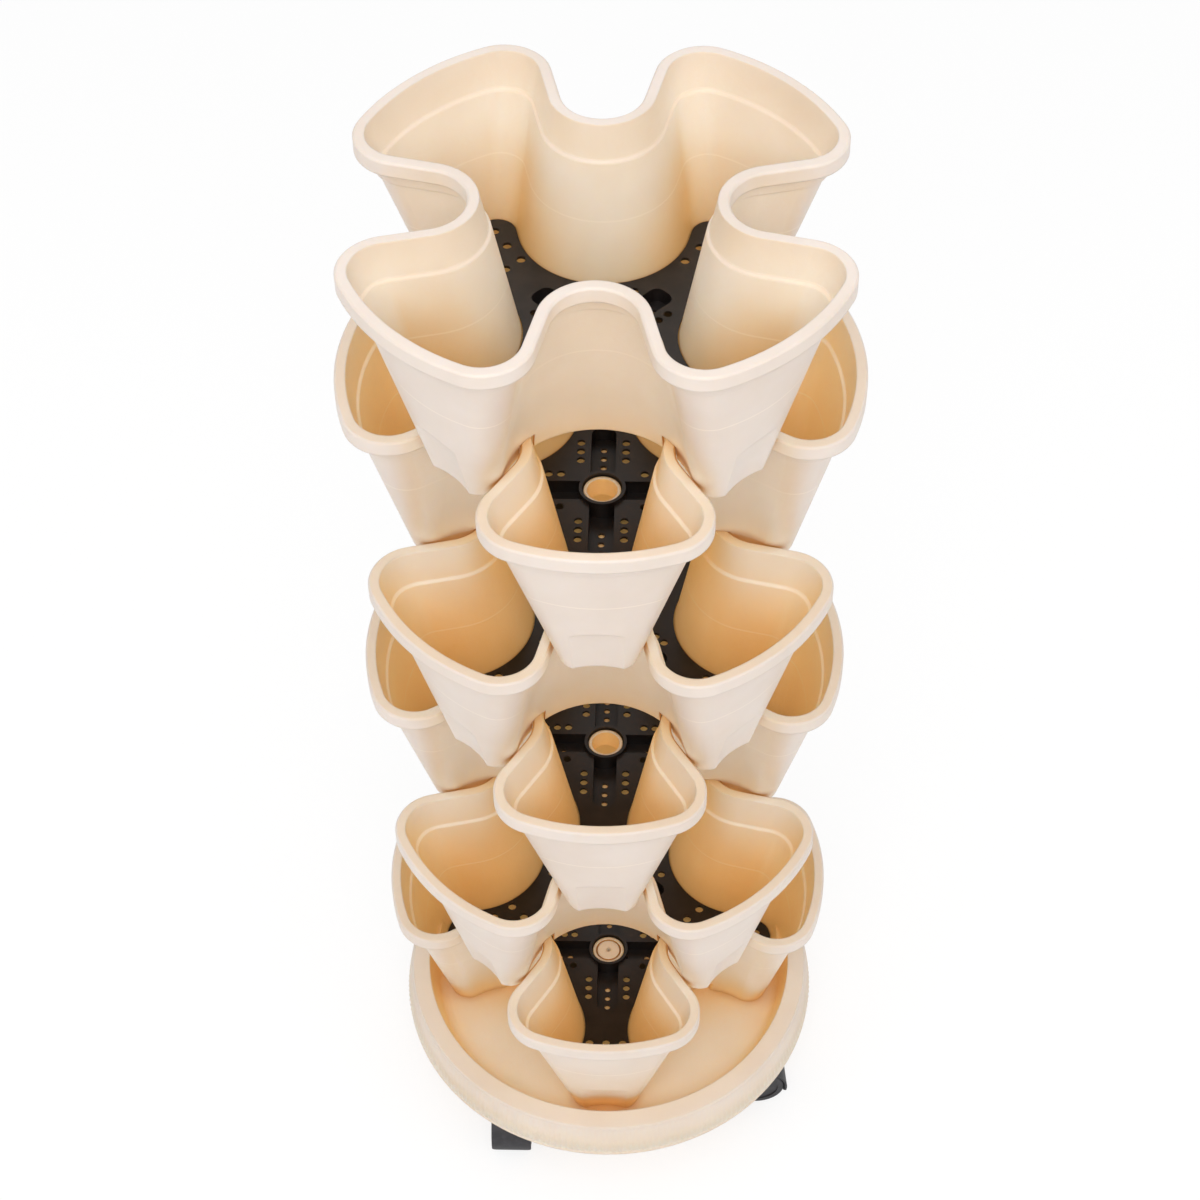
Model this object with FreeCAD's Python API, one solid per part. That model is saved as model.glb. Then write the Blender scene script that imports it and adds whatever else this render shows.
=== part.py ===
import FreeCAD, Part
import math
import os

Vector = FreeCAD.Vector
Rotation = FreeCAD.Rotation
up = Vector(0, 0, 1)

# All lengths are in millimetres and all angles in degrees.
# The origin is on the floor under the middle of the tower, and +Z is up.

# The stack
tier_count = 6
tier_turn = 45.0
pot_seat = 12.5
lobe_count = 4

# The four-lobed outline. A lobe is drawn along +X by a tip arc, two corner arcs and two straight
# sides, and a hollow arc joins it to the next lobe. Each size is (tip reach, tip radius, corner radius).
rim_outline = (160.0, 140.9, 23.3)
foot_outline = (128.7, 47.8, 13.5)
tip_half_angle = 20.4
side_angle = 121.8
notch_centre_reach = 104.2

# The pot
pot_height = 145.8
pot_wall = 2.4
lip_height = 10.6
lip_width = 7.3
lip_chamfer = 1.2
lip_skin = 2.4
wall_inset_under_lip = 1.3
ledge_depth = 23.5
ledge_step = 1.6
pot_floor = 2.4

# The slots in each skirt for the rim of the pot below
slot_gap = 0.6
slot_length = 18.0

# The scoop in each lobe tip
scoop_crown = 48.0
scoop_spring = 42.0
scoop_half_width = 18.0
scoop_foot_depth = 5.4
scoop_top_depth = 3.0
scoop_foot_hollow = 3.2
scoop_top_hollow = 1.0

# The drain plate, which sits a little higher in some of the pots, counted from the top
plate_level = 33.0
plate_rises = (4.5, 0.0, 4.5, 0.0, 0.0, 0.0)
plate_thickness = 2.0
plate_gap = 0.5
sleeve_bore = 26.6
sleeve_wall = 2.2
sleeve_rise = 3.0
trough_depth = 10.6
trough_half_width = 8.3
trough_reach = 57.5
trough_end_radius = 6.0
trough_wall = 1.8
trough_hole = 4.5
trough_hole_start = 30.9
side_hole = 5.5
side_hole_start = 27.7
side_hole_offset = 15.0
row_pitch = 8.17
rows_beside_trough = 3
arm_hole = 6.0
arm_rows = ((87.0, 13.0), (103.0, 15.7), (119.0, 19.6))

# The standpipe in each pot and the post that enters the lowest one
pipe_radius = 12.4
pipe_wall = 2.3
pipe_rise_over_plate = 0.3
post_radius = 8.8
post_wall = 2.4

# The tray
tray_lift = 43.7
tray_floor_rise = 8.0
tray_wall = 3.0
tray_rim_rise = 34.3
tray_rim_outer_radius = 157.4
tray_rim_width = 13.0
tray_rim_drop = 2.6
tray_skirt_flare = 5.3
tray_wall_lean = 8.4
tray_fillet = 8.0

# The casters
caster_count = 4
caster_inset = 32.4
caster_first_bearing = -36.3
caster_headings = (6.0, 128.0, 210.0, -90.0)
caster_trail = 20.0
wheel_radius = 20.0
wheel_width = 8.8
wheel_edge = 1.6
wheel_dish_radius = 15.0
wheel_dish = 0.8
wheel_cap = 1.5
axle_radius = 2.5
running_gap = 0.05
web_half_width = 5.8
web_under_axle = 5.5
side_gap = 0.4
hood_width = 31.0
hood_radius = 22.4
hood_skin = 1.6
hood_tail_angle = -20.0
hood_nose_angle = 150.0
hood_corner = 4.0
neck_radius = 8.0
neck_top = 38.0
neck_bottom = 16.0
stem_radius = 4.0
stem_foot = 19.0
stem_collar_radius = 6.5
stem_collar = 1.2
stem_play = 0.3
socket_boss_radius = 8.0
socket_roof = 1.4

# How far a cutter runs past the faces that it cuts, and how near counts as the same place
cut_margin = 5.0
same_place = 1e-6

# What follows from them
tier_pitch = pot_height - pot_seat
floor_top = plate_level - trough_depth - plate_thickness
floor_underside = floor_top - pot_floor
pipe_top = plate_level + pipe_rise_over_plate
lip_underside = pot_height - lip_height
ledge_top = pot_height - ledge_depth
ledge_bottom = ledge_top - ledge_step
tray_floor_top = tray_lift + tray_floor_rise
tray_floor_underside = tray_floor_top - tray_wall
tray_rim_top = tray_lift + tray_rim_rise
tray_mouth_radius = tray_rim_outer_radius - tray_rim_width
tray_floor_radius = tray_mouth_radius - tray_wall_lean
tray_skirt_radius = tray_rim_outer_radius + tray_skirt_flare
caster_circle_radius = tray_rim_outer_radius - caster_inset
collar_bottom = neck_top + stem_play
boss_bottom = collar_bottom + stem_collar
socket_top = tray_floor_top - socket_roof
wheel_inner_face = web_half_width + side_gap
wheel_outer_face = wheel_inner_face + wheel_width


def on_lobe(centre_x, centre_y, radius, angle, lobe, z):
    """Point on a circle that is drawn in the first lobe and turned to the given lobe."""
    x = centre_x + radius * math.cos(angle)
    y = centre_y + radius * math.sin(angle)
    return Rotation(up, 360.0 / lobe_count * lobe).multVec(Vector(x, y, 0)) + Vector(0, 0, z)


def outline_arcs(size, grow=0.0):
    """Centre and radius of the tip, corner and hollow arcs of an outline grown outwards by one offset."""
    tip_reach, tip_radius, corner_radius = size
    tip = math.radians(tip_half_angle)
    side = math.radians(side_angle)
    tip_x = tip_reach - tip_radius
    corner_x = tip_x + (tip_radius - corner_radius) * math.cos(tip)
    corner_y = (tip_radius - corner_radius) * math.sin(tip)
    hollow = notch_centre_reach * math.sqrt(0.5)
    hollow_radius = hollow * (math.cos(side) + math.sin(side)) - corner_radius
    hollow_radius -= corner_x * math.cos(side) + corner_y * math.sin(side)
    return {
        "tip": (tip_x, 0.0, tip_radius + grow),
        "near corner": (corner_x, corner_y, corner_radius + grow),
        "hollow": (hollow, hollow, hollow_radius - grow),
        "far corner": (corner_y, corner_x, corner_radius + grow),
    }


def arc(circle, start, end, lobe, z):
    """Arc edge of one lobe from one angle to another, in radians."""
    angles = (start, (start + end) / 2, end)
    return Part.Arc(*[on_lobe(*circle, angle, lobe, z) for angle in angles]).toShape()


def line(start, end):
    """Straight edge between two points."""
    return Part.LineSegment(start, end).toShape()


def first_point(edge):
    """Start of an edge."""
    return edge.valueAt(edge.FirstParameter)


def last_point(edge):
    """End of an edge."""
    return edge.valueAt(edge.LastParameter)


def outline(size, z, grow=0.0):
    """Closed four-lobed outline at one height, as edges in an order that all outlines share."""
    arcs = outline_arcs(size, grow)
    tip = math.radians(tip_half_angle)
    side = math.radians(side_angle)
    right_angle = math.pi / 2
    edges = []
    for lobe in range(lobe_count):
        near = arc(arcs["near corner"], tip, side, lobe, z)
        hollow = arc(arcs["hollow"], side + math.pi, 3 * right_angle - side, lobe, z)
        far = arc(arcs["far corner"], right_angle - side, right_angle - tip, lobe, z)
        edges.append(arc(arcs["tip"], -tip, tip, lobe, z))
        edges.append(near)
        edges.append(line(last_point(near), first_point(hollow)))
        edges.append(hollow)
        edges.append(line(last_point(hollow), first_point(far)))
        edges.append(far)
    return edges


def ruled_face(low, high):
    """Straight-sided face between two like edges: a plane, a cone or a slanted cone."""
    corners = [first_point(low), last_point(low), last_point(high), first_point(high)]
    if low.Curve.TypeId == "Part::GeomLine":
        return Part.Face(Part.makePolygon(corners + corners[:1]))
    shift = high.Curve.Center - low.Curve.Center
    if math.hypot(shift.x, shift.y) < same_place:
        sweep = math.degrees(low.LastParameter - low.FirstParameter)
        return line(corners[0], corners[3]).revolve(low.Curve.Center, low.Curve.Axis, sweep).Faces[0]
    below, above = [edge.toNurbs().Edges[0].Curve for edge in (low, high)]
    surface = Part.BSplineSurface()
    poles = [list(pair) for pair in zip(below.getPoles(), above.getPoles())]
    weights = [list(pair) for pair in zip(below.getWeights(), above.getWeights())]
    surface.buildFromPolesMultsKnots(
        poles, below.getMultiplicities(), [2, 2], below.getKnots(), [0, 1],
        False, False, below.Degree, 1, weights)
    return surface.toShape()


def tapered(low, high):
    """Solid between two outlines at different heights."""
    faces = [ruled_face(*pair) for pair in zip(low, high)]
    faces += [Part.Face(Part.Wire(edges)) for edges in (low, high)]
    shell = Part.makeShell(faces)
    shell.sewShape()
    return Part.makeSolid(shell)


def between(low, high, share):
    """Outline size at a share of the way from one size to another."""
    return tuple(a + (b - a) * share for a, b in zip(low, high))


def wall_size(height):
    """Outline size of the wall's outer face, below the ledge, at a height over the pot's foot."""
    under_lip = tuple(length - wall_inset_under_lip for length in rim_outline)
    return between(foot_outline, under_lip, height / lip_underside)


def wall_band(low, high, low_grow, high_grow):
    """Solid inside the drafted wall between two heights, grown by an offset at each."""
    return tapered(
        outline(wall_size(low), low, low_grow),
        outline(wall_size(high), high, high_grow))


def rim_band(low, high, low_grow, high_grow):
    """Solid inside the upright rim between two heights, grown by an offset at each."""
    return tapered(outline(rim_outline, low, low_grow), outline(rim_outline, high, high_grow))


def cylinder(radius, bottom, top, x=0.0, y=0.0):
    """Upright cylinder between two heights."""
    return Part.makeCylinder(radius, top - bottom, Vector(x, y, bottom), up)


def turned_to_lobes(shape):
    """The shape once for each lobe."""
    copies = []
    for lobe in range(lobe_count):
        copy = shape.copy()
        copy.rotate(Vector(0, 0, 0), up, 360.0 / lobe_count * lobe)
        copies.append(copy)
    return copies


def scoop_section(height, grow):
    """Outline of the scoop at one height: a hollow back edge, closed well outside the tip."""
    share = height / scoop_crown
    depth = scoop_foot_depth + (scoop_top_depth - scoop_foot_depth) * share
    hollow = scoop_foot_hollow + (scoop_top_hollow - scoop_foot_hollow) * share
    back = wall_size(height)[0] - depth - grow
    half_width = scoop_half_width + grow
    low_corner = Vector(back + hollow, -half_width, height)
    high_corner = Vector(back + hollow, half_width, height)
    outside = rim_outline[0] + lip_width
    low_outside = Vector(outside, -half_width, height)
    high_outside = Vector(outside, half_width, height)
    return [
        Part.Arc(low_corner, Vector(back, 0, height), high_corner).toShape(),
        line(high_corner, high_outside),
        line(high_outside, low_outside),
        line(low_outside, low_corner),
    ]


def scoop(grow=0.0):
    """Cutter of the arched scoop in the first lobe's tip, grown by an offset to wrap the wall round it."""
    half_width = scoop_half_width + grow
    bottom = -cut_margin
    spring = scoop_spring + grow
    crown = scoop_crown + grow
    corners = [Vector(0, -half_width, spring), Vector(0, -half_width, bottom),
               Vector(0, half_width, bottom), Vector(0, half_width, spring)]
    edges = [line(*pair) for pair in zip(corners, corners[1:])]
    edges.append(Part.Arc(corners[3], Vector(0, 0, crown), corners[0]).toShape())
    arch = Part.Face(Part.Wire(edges)).extrude(Vector(rim_outline[0] + cut_margin, 0, 0))
    wedge = tapered(scoop_section(bottom, grow), scoop_section(crown + cut_margin, grow))
    return wedge.common(arch)


def crossing(first, second):
    """The crossing of two circles that lies nearer the tower's axis."""
    first_x, first_y, first_radius = first
    second_x, second_y, second_radius = second
    apart = math.hypot(second_x - first_x, second_y - first_y)
    along = (first_radius ** 2 - second_radius ** 2 + apart ** 2) / (2 * apart)
    across = math.sqrt(first_radius ** 2 - along ** 2)
    ahead = Vector(second_x - first_x, second_y - first_y, 0) / apart
    side = Vector(-ahead.y, ahead.x, 0)
    middle = Vector(first_x, first_y, 0) + ahead * along
    return min((middle + side * across, middle - side * across), key=lambda point: point.Length)


def mouth_hollow_radius(height):
    """Radius of the hollow arc of the mouth's drafted inner face at a height over the pot's foot."""
    at_ledge = outline_arcs(wall_size(ledge_top), ledge_step - pot_wall)["hollow"][2]
    at_top = outline_arcs(rim_outline)["hollow"][2]
    return at_ledge + (at_top - at_ledge) * (height - ledge_top) / (pot_height - ledge_top)


def rim_slots():
    """Cutters of the slots in the skirt where the rim of the pot below passes through it."""
    skirt_hollow = outline_arcs(wall_size(pot_seat / 2), -pot_wall / 2)["hollow"]
    lip_side = outline_arcs(rim_outline, lip_width)["hollow"][2] - slot_gap
    mouth_side = mouth_hollow_radius(tier_pitch) + slot_gap
    point = crossing(skirt_hollow, (notch_centre_reach, 0.0, (lip_side + mouth_side) / 2))
    bearing = math.degrees(math.atan2(point.y, point.x - notch_centre_reach))
    corner = Vector(-slot_length / 2, -slot_length / 2, -cut_margin)
    block = Part.makeBox(slot_length, slot_length, pot_seat + cut_margin, corner)
    block.rotate(Vector(0, 0, 0), up, bearing)
    block.translate(point)
    outside = cylinder(mouth_side, -cut_margin, pot_seat, notch_centre_reach)
    inside = cylinder(lip_side, -cut_margin, pot_seat, notch_centre_reach)
    slot = block.common(outside).cut(inside)
    mirrored = slot.mirror(Vector(0, 0, 0), Vector(0, 1, 0))
    return turned_to_lobes(slot) + turned_to_lobes(mirrored)


def pot():
    """One pot with its foot at height zero and its lobes along the axes."""
    jog_top = ledge_top - pot_wall * (math.sqrt(2) - 1)
    jog_bottom = jog_top - ledge_step
    chamfer_bottom = pot_height - lip_chamfer
    body = wall_band(0, jog_bottom, 0, 0).fuse([
        wall_band(jog_bottom, jog_top, 0, ledge_step),
        wall_band(jog_top, lip_underside, ledge_step, ledge_step),
        rim_band(lip_underside, chamfer_bottom, lip_width, lip_width),
        rim_band(chamfer_bottom, pot_height, lip_width, lip_width - lip_chamfer),
    ])
    scoops = turned_to_lobes(scoop())
    lined_scoops = turned_to_lobes(scoop(pot_wall))
    groove_top = pot_height - lip_skin
    groove = rim_band(lip_underside, groove_top, lip_width - lip_skin, lip_width - lip_skin).cut(tapered(
        outline(wall_size(lip_underside), lip_underside, ledge_step),
        outline(rim_outline, groove_top, pot_wall)))
    mouth = tapered(
        outline(wall_size(ledge_top), ledge_top, ledge_step - pot_wall),
        outline(rim_outline, pot_height))
    ledge = wall_band(ledge_bottom, ledge_top, -pot_wall, ledge_step - pot_wall)
    well = wall_band(floor_top, ledge_bottom, -pot_wall, -pot_wall).cut(lined_scoops)
    skirt = wall_band(0, floor_underside, -pot_wall, -pot_wall).cut(lined_scoops)
    shell = body.cut([groove, mouth, ledge, well, skirt] + scoops)
    pipe = cylinder(pipe_radius, floor_underside, pipe_top)
    bore = cylinder(pipe_radius - pipe_wall, 0, pot_height)
    return shell.fuse(pipe).cut([bore] + rim_slots()).removeSplitter()


def trough(grow, bottom, top):
    """Round-ended bar along the first lobe, grown by an offset."""
    end = trough_reach + grow
    half_width = trough_half_width + grow
    bar = Part.makeBox(end, 2 * half_width, top - bottom, Vector(0, -half_width, bottom))
    corners = [edge for edge in bar.Edges
               if all(vertex.X > end / 2 for vertex in edge.Vertexes)
               and edge.Vertexes[0].Z != edge.Vertexes[1].Z]
    return bar.makeFillet(trough_end_radius + grow, corners)


def plate_holes(level):
    """Cutters of the drain holes in the first lobe's arm of a plate whose top is at the given level."""
    holes = []
    top = level + cut_margin
    for row in range(rows_beside_trough):
        holes.append(cylinder(trough_hole / 2, 0, top, trough_hole_start + row * row_pitch))
        for side in (-side_hole_offset, side_hole_offset):
            holes.append(cylinder(side_hole / 2, 0, top, side_hole_start + row * row_pitch, side))
    for along, spread in arm_rows:
        for side in (-spread, 0.0, spread):
            holes.append(cylinder(arm_hole / 2, 0, top, along, side))
    return holes


def plate(level):
    """One drain plate with its top at the given level over the foot of its pot."""
    underside = level - plate_thickness
    trough_underside = underside - trough_depth
    sheet_edges = outline(wall_size(underside), underside, -pot_wall - plate_gap)
    sheet = Part.Face(Part.Wire(sheet_edges)).extrude(Vector(0, 0, plate_thickness))
    sleeve = cylinder(sleeve_bore / 2 + sleeve_wall, trough_underside, level + sleeve_rise)
    pans = turned_to_lobes(trough(trough_wall, trough_underside, level))
    hollows = turned_to_lobes(trough(0.0, trough_underside + plate_thickness, level + cut_margin))
    holes = [cutter for hole in plate_holes(level) for cutter in turned_to_lobes(hole)]
    bore = cylinder(sleeve_bore / 2, 0, pot_height)
    body = sheet.fuse(pans).cut(hollows).fuse(sleeve).cut([bore] + holes)
    return body.cut(turned_to_lobes(scoop(pot_wall + plate_gap))).removeSplitter()


def revolved(points):
    """Solid of revolution about the tower's axis from a closed profile of (radius, height) points."""
    corners = [Vector(radius, 0, height) for radius, height in points]
    profile = Part.Face(Part.makePolygon(corners + corners[:1]))
    return profile.revolve(Vector(0, 0, 0), up, 360)


def filleted_ring(solid, radius, ring_radius, height):
    """The solid with a fillet on the circular edge at a radius and height."""
    rings = [edge for edge in solid.Edges
             if edge.Curve.TypeId == "Part::GeomCircle"
             and abs(edge.Curve.Radius - ring_radius) < same_place
             and abs(edge.Curve.Center.z - height) < same_place]
    return solid.makeFillet(radius, rings)


def caster_frames():
    """Place of each caster: its stem's centre and the way its wheels trail."""
    frames = []
    for number in range(caster_count):
        bearing = math.radians(caster_first_bearing + 360.0 / caster_count * number)
        centre = Vector(math.cos(bearing), math.sin(bearing), 0) * caster_circle_radius
        frames.append((centre, caster_headings[number]))
    return frames


def tray():
    """Tray with a hollow rim, the centre post and a socket boss for each caster."""
    rim_outer_top = tray_rim_top - tray_rim_drop
    block = revolved([
        (0, tray_lift), (tray_skirt_radius, tray_lift), (tray_rim_outer_radius, rim_outer_top),
        (tray_mouth_radius, tray_rim_top), (0, tray_rim_top)])
    basin = revolved([
        (0, tray_floor_top), (tray_floor_radius, tray_floor_top),
        (tray_mouth_radius, tray_rim_top), (0, tray_rim_top)])
    basin = filleted_ring(basin, tray_fillet, tray_floor_radius, tray_floor_top)
    under_radius = tray_floor_radius + tray_wall
    under = revolved([
        (0, tray_lift), (tray_skirt_radius - tray_wall, tray_lift),
        (tray_rim_outer_radius - tray_wall, rim_outer_top - tray_wall),
        (tray_mouth_radius + tray_wall, tray_rim_top - tray_wall),
        (under_radius, tray_floor_underside), (0, tray_floor_underside)])
    under = filleted_ring(under, tray_fillet + tray_wall, under_radius, tray_floor_underside)
    post_top = tray_floor_top + pipe_top
    post = cylinder(post_radius, tray_floor_underside, post_top)
    core = cylinder(post_radius - post_wall, tray_floor_underside, post_top - post_wall)
    bosses = []
    sockets = []
    for centre, _ in caster_frames():
        bosses.append(cylinder(socket_boss_radius, boss_bottom, tray_floor_underside, centre.x, centre.y))
        sockets.append(cylinder(stem_radius, boss_bottom, socket_top, centre.x, centre.y))
    return block.cut([basin, under]).fuse([post] + bosses).cut([core] + sockets).removeSplitter()


def crosswise(radius, start, end):
    """Cylinder along the axle's line, in a caster's own frame, from one side position to another."""
    return Part.makeCylinder(radius, end - start, Vector(caster_trail, start, wheel_radius), Vector(0, 1, 0))


def stem():
    """Caster stem with its thrust collar, pressed into the tray's socket."""
    pin = cylinder(stem_radius, stem_foot, socket_top)
    collar = cylinder(stem_collar_radius, collar_bottom, boss_bottom)
    return pin.fuse(collar).removeSplitter()


def fender():
    """Curved cover over both wheels, with rounded corners on its tail."""
    tail = math.radians(hood_tail_angle)
    nose = math.radians(hood_nose_angle)
    half_width = hood_width / 2

    def rim_point(radius, angle):
        return Vector(
            caster_trail + radius * math.cos(angle), -half_width, wheel_radius + radius * math.sin(angle))

    inner_radius = hood_radius - hood_skin
    middle = (tail + nose) / 2
    edges = [
        Part.Arc(*[rim_point(hood_radius, angle) for angle in (tail, middle, nose)]).toShape(),
        line(rim_point(hood_radius, nose), rim_point(inner_radius, nose)),
        Part.Arc(*[rim_point(inner_radius, angle) for angle in (nose, middle, tail)]).toShape(),
        line(rim_point(inner_radius, tail), rim_point(hood_radius, tail)),
    ]
    shell = Part.Face(Part.Wire(edges)).extrude(Vector(0, hood_width, 0))
    tail_height = wheel_radius + hood_radius * math.sin(tail)
    corners = [edge for edge in shell.Edges
               if all(vertex.X > caster_trail for vertex in edge.Vertexes)
               and all(vertex.Z < tail_height + hood_skin for vertex in edge.Vertexes)
               and abs(edge.Vertexes[0].Y - edge.Vertexes[1].Y) < same_place
               and edge.Curve.TypeId == "Part::GeomLine"]
    return shell.makeFillet(hood_corner, corners)


def hood():
    """Caster body: fender, web between the wheels and the neck that turns on the stem."""
    web = crosswise(hood_radius - hood_skin / 2, -web_half_width, web_half_width)
    web_floor = wheel_radius - web_under_axle
    web = web.cut(cylinder(2 * hood_radius, web_floor - 2 * hood_radius, web_floor, caster_trail))
    neck = cylinder(neck_radius, neck_bottom, neck_top)
    wheel_bay = hood_radius - hood_skin
    bays = [crosswise(wheel_bay, web_half_width, hood_width), crosswise(wheel_bay, -hood_width, -web_half_width)]
    bore = cylinder(stem_radius + running_gap, stem_foot - stem_play, neck_top)
    axle_bore = crosswise(axle_radius, -hood_width, hood_width)
    return neck.fuse(web).cut(bays).fuse(fender()).cut([bore, axle_bore]).removeSplitter()


def axle():
    """Axle pressed through the hood's web."""
    end = wheel_outer_face - wheel_cap - side_gap
    return crosswise(axle_radius, -end, end)


def wheel():
    """Wheel on the side of positive Y in a caster's own frame, with a dished outer face."""
    disc = crosswise(wheel_radius, wheel_inner_face, wheel_outer_face)
    disc = disc.makeFillet(wheel_edge, [edge for edge in disc.Edges if len(edge.Vertexes) == 1])
    dish = crosswise(wheel_dish_radius, wheel_outer_face - wheel_dish, wheel_outer_face)
    bore = crosswise(axle_radius + running_gap, wheel_inner_face, wheel_outer_face - wheel_cap)
    return disc.cut([dish, bore])


def placed(shape, shift=Vector(0, 0, 0), turn=0.0):
    """Copy of a shape turned about +Z and then moved."""
    copy = shape.copy()
    copy.rotate(Vector(0, 0, 0), up, turn)
    copy.translate(shift)
    return copy


def build():
    """Every piece of the tower by node name, tiers numbered from the top."""
    pieces = {"base_tray": tray()}
    pot_shape = pot()
    plate_shapes = {rise: plate(plate_level + rise) for rise in set(plate_rises)}
    for tier in range(1, tier_count + 1):
        foot = tray_floor_top + (tier_count - tier) * tier_pitch
        turn = tier_turn * ((tier_count - tier) % 2)
        pieces[f"planter_tier_{tier}"] = placed(pot_shape, Vector(0, 0, foot), turn)
        plate_shape = plate_shapes[plate_rises[tier - 1]]
        pieces[f"drain_plate_{tier}"] = placed(plate_shape, Vector(0, 0, foot), turn)
    right_wheel = wheel()
    caster_shapes = {
        "stem": stem(),
        "hood": hood(),
        "axle": axle(),
        "right_wheel": right_wheel.mirror(Vector(0, 0, 0), Vector(0, 1, 0)),
        "left_wheel": right_wheel,
    }
    for number, (centre, heading) in enumerate(caster_frames(), start=1):
        for name, shape in caster_shapes.items():
            pieces[f"caster_{number}_{name}"] = placed(shape, centre, heading)
    return pieces


os.makedirs("parts", exist_ok=True)
for node, piece in build().items():
    piece.exportStep(f"parts/{node}.step")
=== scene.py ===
import math

import bpy
from mathutils import Matrix, Vector


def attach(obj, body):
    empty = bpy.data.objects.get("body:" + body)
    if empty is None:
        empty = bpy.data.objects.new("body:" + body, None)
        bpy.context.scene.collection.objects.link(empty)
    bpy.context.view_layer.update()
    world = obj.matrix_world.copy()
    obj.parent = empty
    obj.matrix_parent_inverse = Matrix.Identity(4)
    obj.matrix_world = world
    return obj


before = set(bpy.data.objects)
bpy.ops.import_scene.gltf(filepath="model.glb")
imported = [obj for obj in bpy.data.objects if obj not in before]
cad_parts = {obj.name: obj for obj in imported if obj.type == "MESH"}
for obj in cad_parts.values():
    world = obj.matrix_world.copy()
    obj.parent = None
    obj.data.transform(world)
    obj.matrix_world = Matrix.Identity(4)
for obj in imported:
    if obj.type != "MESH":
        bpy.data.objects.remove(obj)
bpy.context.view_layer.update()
print("frame loaded:", len(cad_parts), "nodes")


def fromHex(code):
    # sRGB hex code to the linear colour that the sockets take
    parts = [int(code[i:i + 2], 16) / 255 for i in (1, 3, 5)]
    return tuple(c / 12.92 if c <= 0.04045 else ((c + 0.055) / 1.055) ** 2.4 for c in parts) + (1.0,)


def addNode(tree, kind, settings=None, **links):
    # one node with its settings; inputs go by name, or by i and a number, and take a socket or a value
    node = tree.nodes.new(kind)
    for name, value in (settings or {}).items():
        setattr(node, name, value)
    for name, value in links.items():
        numbered = name[0] == "i" and name[1:].isdigit()
        socket = node.inputs[int(name[1:]) if numbered else name.replace("_", " ")]
        if isinstance(value, bpy.types.NodeSocket):
            tree.links.new(value, socket)
        else:
            socket.default_value = value
    return node


def newMaterial(name):
    material = bpy.data.materials.new(name)
    material.use_nodes = True
    tree = material.node_tree
    tree.nodes.clear()
    output = tree.nodes.new("ShaderNodeOutputMaterial")
    shader = tree.nodes.new("ShaderNodeBsdfPrincipled")
    tree.links.new(shader.outputs[0], output.inputs["Surface"])
    place = addNode(tree, "ShaderNodeTexCoord").outputs["Object"]
    return material, tree, shader, place


def setRamp(node, stops):
    ramp = node.color_ramp
    while len(ramp.elements) > len(stops):
        ramp.elements.remove(ramp.elements[-1])
    while len(ramp.elements) < len(stops):
        ramp.elements.new(1.0)
    for element, (stop, code) in zip(ramp.elements, stops):
        element.position = stop
        element.color = fromHex(code)
    return node


def addGloss(tree, shader, pattern, roughness):
    # roughness that follows a pattern from its low value to its high one
    gloss = addNode(tree, "ShaderNodeMapRange", Value=pattern, To_Min=roughness[0], To_Max=roughness[1])
    tree.links.new(gloss.outputs["Result"], shader.inputs["Roughness"])


def addGrain(tree, shader, place, finish, **under):
    # a fine even grain, raised from the plain surface or from the softened edges
    grain = addNode(tree, "ShaderNodeTexNoise", Vector=place, Scale=1 / finish["grainSize"], Detail=2.0)
    bump = addNode(tree, "ShaderNodeBump", Height=grain.outputs["Fac"], Strength=finish["grainStrength"],
                   Distance=finish["grainDepth"], **under)
    tree.links.new(bump.outputs["Normal"], shader.inputs["Normal"])


colourMix = {"data_type": "RGBA"}
colourMultiply = {"data_type": "RGBA", "blend_type": "MULTIPLY"}
white = "#FFFFFF"
black = "#000000"

# injection-moulded polypropylene, cream masterbatch: soft satin outside, with painted shade and a painted
# glow that warm it to amber where thin walls close it in, faint flow clouds, a fine mould grain and a few
# specks of burnt resin
cream = {
    "opennessReach": 0.25,
    "opennessSamples": 10,
    # tone by openness: the cream's own colour where open, painted shade that warms it to amber where
    # enclosed
    "tones": [(0.06, "#FBDCA6"), (0.13, "#EAC890"), (0.22, "#F4ECDE"), (0.3, "#EEE3D0"), (0.4, "#F0E9E0"),
              (0.5, "#E8D7BE"), (0.63, "#DFCCB6"), (0.82, "#DACEC4")],
    # painted glow in the most enclosed places, as if light came through the wall
    "paintedGlows": [(0.0, "#705C35"), (0.07, "#61502C"), (0.13, "#1A1400"), (0.2, black)],
    "hollowReach": 0.09,
    "hollowSamples": 6,
    # painted shade in hollows and in creases
    "paintedHollowShades": [(0.08, "#F0D4AC"), (0.33, "#F9F0E0"), (0.5, white)],
    "creaseReach": 0.012,
    "creaseSamples": 4,
    "paintedCreaseShades": [(0.0, "#D8B48E"), (0.7, white)],
    "creaseEnd": 0.8,
    "paintedGlowLeft": 0.3,
    "cloudSize": 0.07,
    "clouds": [(0.38, white), (0.72, "#F9F6F2")],
    "speckSpacing": 0.022,
    "speckEdge": [(0.012, white), (0.02, black)],
    "speckChance": 0.12,
    "speckColour": "#6B5138",
    "subsurface": 0.2,
    "throughRadius": (1.0, 0.62, 0.32),
    "throughScale": 0.004,
    "ior": 1.49,
    "roughness": (0.36, 0.5),
    "wipeScale": 90.0,  # handled patches, 11 mm wide
    "grainSize": 0.0011,
    "grainDepth": 0.00003,
    "grainStrength": 0.5,
    "edgeRadius": 0.0018,
    "fluteEdgeRadius": 0.0002,
    "edgeSamples": 4,
}

# a painted highlight: the faint light line round each pot where the draft of its wall changes
paintedDraftHighlight = {
    "lowestFoot": 0.0517,
    "tierPitch": 0.1333,
    "height": 0.0808,
    "width": 0.0009,
    "share": 0.3,
    "colour": "#FFF3E0",
}


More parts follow.
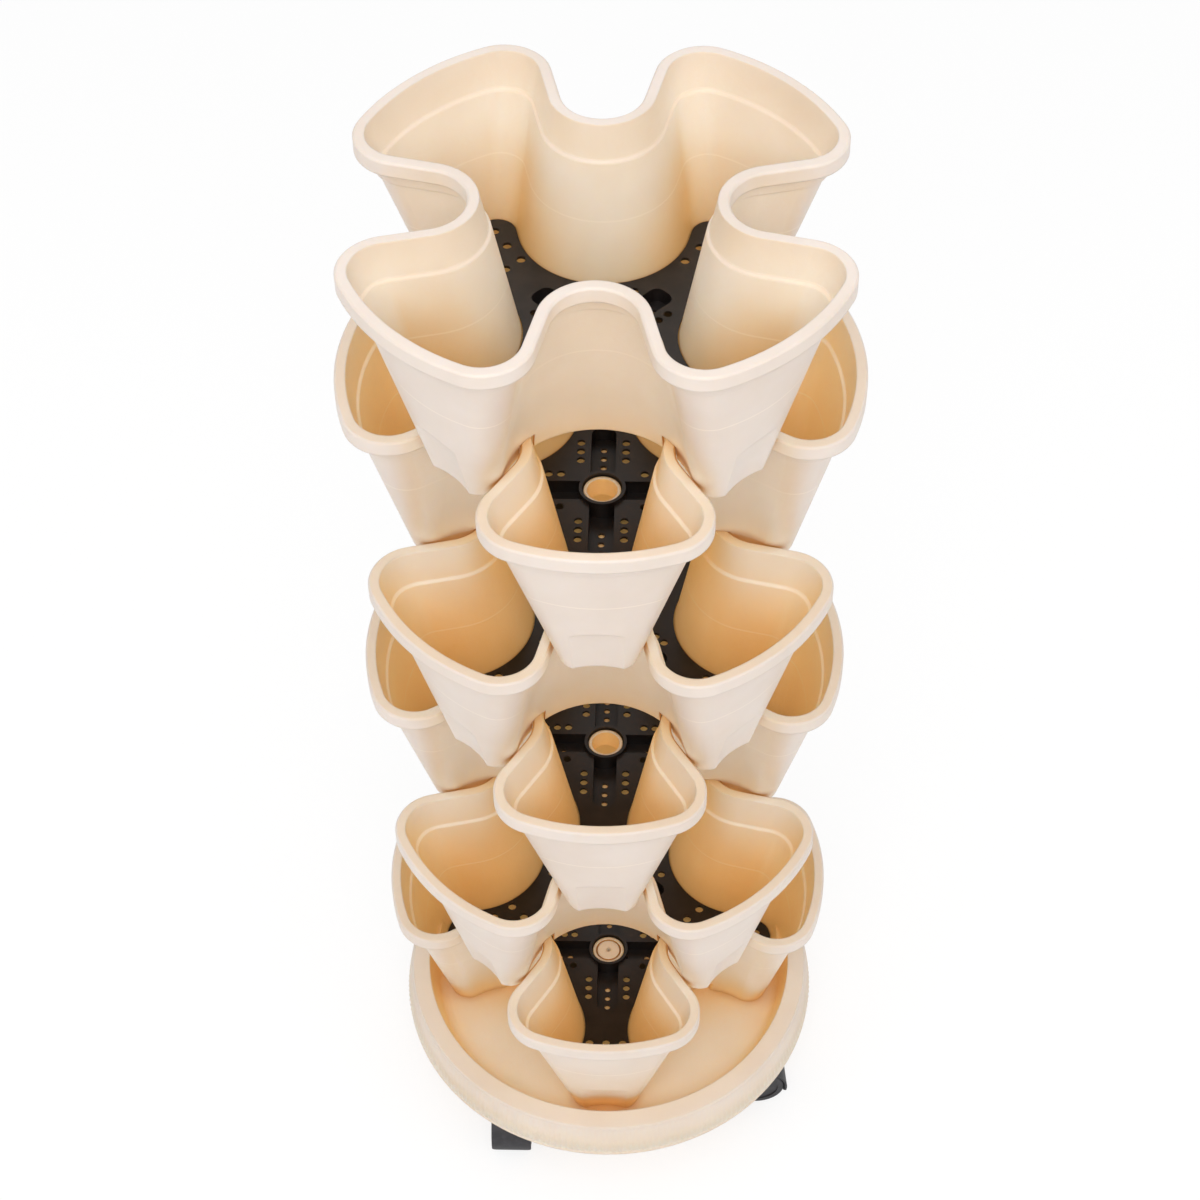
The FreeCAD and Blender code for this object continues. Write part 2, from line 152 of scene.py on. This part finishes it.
def addPaintedDraftHighlight(tree, place, surface):
    axes = addNode(tree, "ShaderNodeSeparateXYZ", Vector=place)
    above = addNode(tree, "ShaderNodeMath", {"operation": "SUBTRACT"},
                    i0=axes.outputs["Z"], i1=paintedDraftHighlight["lowestFoot"])
    level = addNode(tree, "ShaderNodeMath", {"operation": "FLOORED_MODULO"},
                    i0=above.outputs[0], i1=paintedDraftHighlight["tierPitch"])
    offLine = addNode(tree, "ShaderNodeMath", {"operation": "SUBTRACT"},
                      i0=level.outputs[0], i1=paintedDraftHighlight["height"])
    away = addNode(tree, "ShaderNodeMath", {"operation": "ABSOLUTE"}, i0=offLine.outputs[0])
    # painted highlight: the colour turns lighter along the line
    line = addNode(tree, "ShaderNodeMapRange", {"interpolation_type": "SMOOTHSTEP"}, Value=away.outputs[0],
                   From_Max=paintedDraftHighlight["width"], To_Min=paintedDraftHighlight["share"], To_Max=0.0)
    highlighted = addNode(tree, "ShaderNodeMix", colourMix, Factor=line.outputs["Result"],
                     A=surface, B=fromHex(paintedDraftHighlight["colour"]))
    return highlighted.outputs["Result"]


def makeCream(name, edgeRadius, withPaintedHighlight=False):
    material, tree, shader, place = newMaterial(name)
    # how open the surface is to the room sets its tone, with painted shade where it is enclosed, and a
    # painted glow that stands in for light coming through the wall
    openness = addNode(tree, "ShaderNodeAmbientOcclusion", {"samples": cream["opennessSamples"]},
                       Distance=cream["opennessReach"]).outputs["AO"]
    tone = setRamp(addNode(tree, "ShaderNodeValToRGB", Fac=openness), cream["tones"])
    paintedGlow = setRamp(addNode(tree, "ShaderNodeValToRGB", Fac=openness), cream["paintedGlows"])
    clouds = addNode(tree, "ShaderNodeTexNoise", Vector=place, Scale=1 / cream["cloudSize"],
                     Detail=4.0, Roughness=0.55)
    veil = setRamp(addNode(tree, "ShaderNodeValToRGB", Fac=clouds.outputs["Fac"]), cream["clouds"])
    veiled = addNode(tree, "ShaderNodeMix", colourMultiply, Factor=1.0,
                     A=tone.outputs["Color"], B=veil.outputs["Color"])
    # painted shade: hollows and creases are painted a little darker and warmer, and the painted glow is
    # weaker in creases
    hollow = addNode(tree, "ShaderNodeAmbientOcclusion", {"samples": cream["hollowSamples"]},
                     Distance=cream["hollowReach"]).outputs["AO"]
    crease = addNode(tree, "ShaderNodeAmbientOcclusion", {"samples": cream["creaseSamples"]},
                     Distance=cream["creaseReach"]).outputs["AO"]
    paintedHollowShade = setRamp(addNode(tree, "ShaderNodeValToRGB", Fac=hollow), cream["paintedHollowShades"])
    paintedCreaseShade = setRamp(addNode(tree, "ShaderNodeValToRGB", Fac=crease), cream["paintedCreaseShades"])
    paintedShades = addNode(tree, "ShaderNodeMix", colourMultiply, Factor=1.0,
                     A=paintedHollowShade.outputs["Color"], B=paintedCreaseShade.outputs["Color"])
    paintedShaded = addNode(tree, "ShaderNodeMix", colourMultiply, Factor=1.0,
                     A=veiled.outputs["Result"], B=paintedShades.outputs["Result"])
    damping = addNode(tree, "ShaderNodeMapRange", Value=crease,
                      From_Max=cream["creaseEnd"], To_Min=cream["paintedGlowLeft"])
    paintedGlowDamped = addNode(tree, "ShaderNodeMix", colourMultiply, Factor=1.0,
                     A=paintedGlow.outputs["Color"], B=damping.outputs["Result"])
    surface = paintedShaded.outputs["Result"]
    if withPaintedHighlight:
        surface = addPaintedDraftHighlight(tree, place, surface)
    # a speck sits in the middle of a few of the cells
    cells = addNode(tree, "ShaderNodeTexVoronoi", Vector=place,
                    Scale=1 / cream["speckSpacing"], Randomness=1.0)
    speck = setRamp(addNode(tree, "ShaderNodeValToRGB", Fac=cells.outputs["Distance"]), cream["speckEdge"])
    chance = addNode(tree, "ShaderNodeSeparateColor", Color=cells.outputs["Color"])
    rare = addNode(tree, "ShaderNodeMath", {"operation": "LESS_THAN"},
                   i0=chance.outputs["Red"], i1=cream["speckChance"])
    fleck = addNode(tree, "ShaderNodeMath", {"operation": "MULTIPLY"},
                    i0=speck.outputs["Color"], i1=rare.outputs[0])
    coloured = addNode(tree, "ShaderNodeMix", colourMix, Factor=fleck.outputs[0],
                       A=surface, B=fromHex(cream["speckColour"]))
    tree.links.new(coloured.outputs["Result"], shader.inputs["Base Color"])
    # the painted glow goes in as emission, though the pots are no lamp
    tree.links.new(paintedGlowDamped.outputs["Result"], shader.inputs["Emission Color"])
    shader.inputs["Emission Strength"].default_value = 1.0
    wipe = addNode(tree, "ShaderNodeTexNoise", Vector=place, Scale=cream["wipeScale"], Detail=3.0)
    addGloss(tree, shader, wipe.outputs["Fac"], cream["roughness"])
    softened = addNode(tree, "ShaderNodeBevel", {"samples": cream["edgeSamples"]}, Radius=edgeRadius)
    addGrain(tree, shader, place, cream, Normal=softened.outputs["Normal"])
    shader.inputs["IOR"].default_value = cream["ior"]
    shader.inputs["Subsurface Weight"].default_value = cream["subsurface"]
    shader.inputs["Subsurface Radius"].default_value = cream["throughRadius"]
    shader.inputs["Subsurface Scale"].default_value = cream["throughScale"]
    return material


# injection-moulded reground polypropylene, nearly black: low satin sheen, brownish blotches, a little dusty
dark = {
    "tones": [(0.4, "#191514"), (0.68, "#241E1C"), (0.86, "#3D322B")],
    "blotchSize": 0.012,
    "specular": 0.4,
    "ior": 1.49,
    "roughness": (0.28, 0.45),
    "grainSize": 0.0009,
    "grainDepth": 0.00003,
    "grainStrength": 0.5,
}


def makeDark():
    material, tree, shader, place = newMaterial("Reground polypropylene")
    blotches = addNode(tree, "ShaderNodeTexNoise", Vector=place, Scale=1 / dark["blotchSize"],
                       Detail=5.0, Roughness=0.6)
    tone = setRamp(addNode(tree, "ShaderNodeValToRGB", Fac=blotches.outputs["Fac"]), dark["tones"])
    tree.links.new(tone.outputs["Color"], shader.inputs["Base Color"])
    addGloss(tree, shader, blotches.outputs["Fac"], dark["roughness"])
    addGrain(tree, shader, place, dark)
    shader.inputs["IOR"].default_value = dark["ior"]
    shader.inputs["Specular IOR Level"].default_value = dark["specular"]
    return material


# glass-filled nylon, dark grey: fine matt grain, scuffed a little lighter where it is rubbed
nylon = {
    "tones": [(0.45, "#1C1B1F"), (0.78, "#353338")],
    "scuffSize": 0.00625,
    "ior": 1.53,
    "roughness": (0.45, 0.62),
    "grainSize": 0.0008,
    "grainDepth": 0.00004,
    "grainStrength": 0.6,
}


def makeNylon():
    material, tree, shader, place = newMaterial("Filled nylon")
    scuffs = addNode(tree, "ShaderNodeTexNoise", Vector=place, Scale=1 / nylon["scuffSize"],
                     Detail=6.0, Roughness=0.65)
    tone = setRamp(addNode(tree, "ShaderNodeValToRGB", Fac=scuffs.outputs["Fac"]), nylon["tones"])
    tree.links.new(tone.outputs["Color"], shader.inputs["Base Color"])
    addGloss(tree, shader, scuffs.outputs["Fac"], nylon["roughness"])
    addGrain(tree, shader, place, nylon)
    shader.inputs["IOR"].default_value = nylon["ior"]
    return material


# zinc-plated steel pin: pale grey, turned, so its sheen runs in fine rings
zinc = {
    "tones": [(0.35, "#8E9094"), (0.65, "#B9BABD")],
    "ringScale": (200.0, 200.0, 3000.0),  # rings a third of a millimetre apart
    "roughness": (0.24, 0.42),
}


def makeZinc():
    material, tree, shader, place = newMaterial("Zinc plated steel")
    stretched = addNode(tree, "ShaderNodeMapping", Vector=place, Scale=zinc["ringScale"])
    rings = addNode(tree, "ShaderNodeTexNoise", Vector=stretched.outputs[0], Scale=1.0, Detail=3.0)
    tone = setRamp(addNode(tree, "ShaderNodeValToRGB", Fac=rings.outputs["Fac"]), zinc["tones"])
    tree.links.new(tone.outputs["Color"], shader.inputs["Base Color"])
    addGloss(tree, shader, rings.outputs["Fac"], zinc["roughness"])
    shader.inputs["Metallic"].default_value = 1.0
    return material


creamPot = makeCream("Cream polypropylene pots", cream["edgeRadius"], withPaintedHighlight=True)
creamTray = makeCream("Cream polypropylene tray", cream["edgeRadius"])
creamFlutes = makeCream("Cream polypropylene flutes", cream["fluteEdgeRadius"])
darkPlate = makeDark()
casterNylon = makeNylon()
casterZinc = makeZinc()
print("materials made")

for name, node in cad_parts.items():
    if name.startswith("planter"):
        finish = creamPot
    elif name.startswith("drain"):
        finish = darkPlate
    elif name == "base_tray":
        finish = creamTray
    elif name.endswith(("stem", "axle")):
        finish = casterZinc
    else:
        finish = casterNylon
    node.data.materials.clear()
    node.data.materials.append(finish)
print("finishes given to the frame")


def selectOnly(piece, kind, chosen):
    # opens the piece for editing with only the parts that the test picks
    bpy.context.view_layer.objects.active = piece
    bpy.ops.object.mode_set(mode="EDIT")
    bpy.ops.mesh.select_mode(type=kind)
    bpy.ops.mesh.select_all(action="DESELECT")
    bpy.ops.object.mode_set(mode="OBJECT")
    parts = {"VERT": piece.data.vertices, "EDGE": piece.data.edges, "FACE": piece.data.polygons}[kind]
    for part in parts:
        part.select = chosen(part)
    bpy.ops.object.mode_set(mode="EDIT")


def finishPiece(piece, finish, body):
    piece.data.materials.clear()
    piece.data.materials.append(finish)
    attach(piece, body)


# the fluted band round the tray's skirt, which sits just over the drafted outer face
flutes = {
    "count": 223,
    "bottom": 0.0474,
    "top": 0.0716,
    "bottomRadius": 0.16208,
    "topRadius": 0.15803,
    "crest": 0.0012,
    "valley": 0.00012,
    "turnIn": 1.6,  # how far the ends turn in, in crests
    "tuck": 0.0011,
    "levelWithin": 1e-6,
    "smoothAngle": 75,
}


def makeFlutes():
    bpy.ops.object.select_all(action="DESELECT")
    middle = (flutes["top"] + flutes["bottom"]) / 2
    bpy.ops.mesh.primitive_cone_add(
        vertices=2 * flutes["count"], radius1=flutes["bottomRadius"] + flutes["crest"],
        radius2=flutes["topRadius"] + flutes["crest"], depth=flutes["top"] - flutes["bottom"],
        end_fill_type="NOTHING", location=(0, 0, middle))
    band = bpy.context.object
    band.name = "tray_flutes"
    bpy.ops.object.transform_apply(location=True, rotation=True, scale=True)
    # every other upright is drawn in to the bottom of a flute, counted from the back, where the cone starts
    pitch = math.pi / flutes["count"]
    drawnIn = 1 - (flutes["crest"] - flutes["valley"]) / flutes["bottomRadius"]
    selectOnly(band, "VERT", lambda vertex: round(math.atan2(-vertex.co.x, vertex.co.y) / pitch) % 2 == 0)
    bpy.ops.transform.resize(value=(drawnIn, drawnIn, 1), center_override=(0, 0, middle))
    # both ends are turned in to the skirt
    shrink = 1 - flutes["turnIn"] * flutes["crest"] / flutes["topRadius"]
    for end, away in ((flutes["top"], 1), (flutes["bottom"], -1)):
        selectOnly(band, "EDGE", lambda edge: all(
            abs(band.data.vertices[i].co.z - end) < flutes["levelWithin"] for i in edge.vertices))
        bpy.ops.mesh.extrude_edges_move()
        bpy.ops.transform.resize(value=(shrink, shrink, 1), center_override=(0, 0, end))
        bpy.ops.transform.translate(value=(0, 0, away * flutes["tuck"]))
    bpy.ops.mesh.select_all(action="SELECT")
    bpy.ops.mesh.normals_make_consistent(inside=False)
    bpy.ops.object.mode_set(mode="OBJECT")
    bpy.ops.object.shade_smooth_by_angle(angle=math.radians(flutes["smoothAngle"]))
    finishPiece(band, creamFlutes, "base")


# the moulding gate's round mark on top of the tray's post
gate = {
    "sides": 48,
    "postTop": 0.085,
    "radius": 0.0021,
    "height": 0.0003,
    "dimple": 0.0011,
    "dimpleSlope": 0.000275,
    "dimpleDepth": 0.0002,
    "smoothAngle": 40,
}


def makeGate():
    bpy.ops.object.select_all(action="DESELECT")
    bpy.ops.mesh.primitive_cylinder_add(
        vertices=gate["sides"], radius=gate["radius"], depth=gate["height"],
        location=(0, 0, gate["postTop"] + gate["height"] / 2))
    dot = bpy.context.object
    dot.name = "post_gate_mark"
    bpy.ops.object.transform_apply(location=True, rotation=True, scale=True)
    # the face that looks up is set in and pressed down
    selectOnly(dot, "FACE", lambda face: face.normal.z > 0.9)
    bpy.ops.mesh.inset(thickness=gate["radius"] - gate["dimple"])
    bpy.ops.mesh.inset(thickness=gate["dimpleSlope"])
    bpy.ops.transform.translate(value=(0, 0, -gate["dimpleDepth"]))
    bpy.ops.object.mode_set(mode="OBJECT")
    bpy.ops.object.shade_smooth_by_angle(angle=math.radians(gate["smoothAngle"]))
    finishPiece(dot, creamTray, "base")


makeFlutes()
makeGate()
print("tray flutes and gate mark made")

# the photograph's viewpoint, worked out from the outlines of the six equal pots
view = {
    "lens": 80.9,
    "sensorWidth": 36.0,
    "elevation": 48.36,
    "bearing": -2.03,
    "roll": -0.86,
    "distance": 1.85531,
    "aimHeight": 0.50929,
    "sideways": -0.00263,
    "farthest": 50.0,
}


def addCamera():
    turn = Matrix.Rotation(math.radians(-view["bearing"]), 3, "Z")
    tilt = math.radians(view["elevation"])
    lean = math.radians(view["roll"])
    away = view["distance"]
    place = turn @ Vector((view["sideways"], -away * math.cos(tilt), 0))
    place.z = away * math.sin(tilt) + view["aimHeight"]
    ahead = turn @ Vector((0, math.cos(tilt), -math.sin(tilt)))
    over = turn @ Vector((0, math.sin(tilt), math.cos(tilt)))
    right = turn @ Vector((1, 0, 0))
    leanRight = right * math.cos(lean) + over * math.sin(lean)
    leanOver = over * math.cos(lean) - right * math.sin(lean)
    axes = Matrix((leanRight, leanOver, -ahead)).transposed().to_4x4()
    axes.translation = place
    data = bpy.data.cameras.new("Viewpoint")
    data.lens = view["lens"]
    data.sensor_width = view["sensorWidth"]
    data.clip_end = view["farthest"]
    camera = bpy.data.objects.new("Viewpoint", data)
    camera.matrix_world = axes
    bpy.context.scene.collection.objects.link(camera)
    bpy.context.scene.camera = camera


# soft even studio light: each lamp's name, place, width in metres and watts
studio = {
    "world": 0.75,
    "lamps": [
        ("Front softbox", (0.0, -1.9, 2.6), 1.6, 30.0),
        ("Overhead softbox", (0.0, -0.2, 2.7), 1.8, 10.0),
        ("Left softbox", (-1.9, -1.3, 1.6), 1.4, 6.0),
        ("Right softbox", (1.9, -1.2, 1.7), 1.4, 6.0),
    ],
    "aim": (0.0, 0.0, 0.45),
    "floorSize": 12.0,
}

# matt white paper that the lens sees nearly blown out, with the object's shadow still on it
paper = {
    "colour": "#FAFAFA",
    "shown": 0.8,
    "roughness": 0.9,
    "grainSize": 0.002,
    "grainDepth": 0.0001,
    "grainStrength": 0.2,
}


def addSeenRays(tree):
    # 1 for what the lens sees straight on, in a reflection or through glass
    rays = addNode(tree, "ShaderNodeLightPath")
    seen = rays.outputs["Is Camera Ray"]
    for kind in ("Is Glossy Ray", "Is Transmission Ray"):
        either = addNode(tree, "ShaderNodeMath", {"operation": "MAXIMUM"}, i0=seen, i1=rays.outputs[kind])
        seen = either.outputs[0]
    return seen


def makePaper():
    material, tree, shader, place = newMaterial("Studio paper")
    addGrain(tree, shader, place, paper)
    shader.inputs["Base Color"].default_value = fromHex(paper["colour"])
    shader.inputs["Roughness"].default_value = paper["roughness"]
    share = addNode(tree, "ShaderNodeMath", {"operation": "MULTIPLY"},
                    i0=addSeenRays(tree), i1=paper["shown"])
    blank = addNode(tree, "ShaderNodeEmission", Color=fromHex(white), Strength=1.0)
    mixed = addNode(tree, "ShaderNodeMixShader",
                    i0=share.outputs[0], i1=shader.outputs[0], i2=blank.outputs[0])
    output = next(node for node in tree.nodes if node.type == "OUTPUT_MATERIAL")
    tree.links.new(mixed.outputs[0], output.inputs["Surface"])
    return material


def addStudio():
    world = bpy.data.worlds.new("Studio")
    world.use_nodes = True
    tree = world.node_tree
    tree.nodes.clear()
    lit = addNode(tree, "ShaderNodeBackground", Color=fromHex(white), Strength=studio["world"])
    shown = addNode(tree, "ShaderNodeBackground", Color=fromHex(white), Strength=1.0)
    mixed = addNode(tree, "ShaderNodeMixShader",
                    i0=addSeenRays(tree), i1=lit.outputs[0], i2=shown.outputs[0])
    addNode(tree, "ShaderNodeOutputWorld", Surface=mixed.outputs[0])
    bpy.context.scene.world = world
    for name, place, width, watts in studio["lamps"]:
        data = bpy.data.lights.new(name, "AREA")
        data.shape = "DISK"
        data.size = width
        data.energy = watts
        lamp = bpy.data.objects.new(name, data)
        lamp.location = place
        lamp.rotation_euler = (Vector(studio["aim"]) - Vector(place)).to_track_quat("-Z", "Y").to_euler()
        bpy.context.scene.collection.objects.link(lamp)
    bpy.ops.mesh.primitive_plane_add(size=studio["floorSize"], location=(0, 0, 0))
    floor = bpy.context.object
    floor.name = "StudioFloor"
    floor.data.materials.append(makePaper())


addCamera()
addStudio()
bpy.context.scene.view_settings.view_transform = "Standard"
print("camera and studio placed")
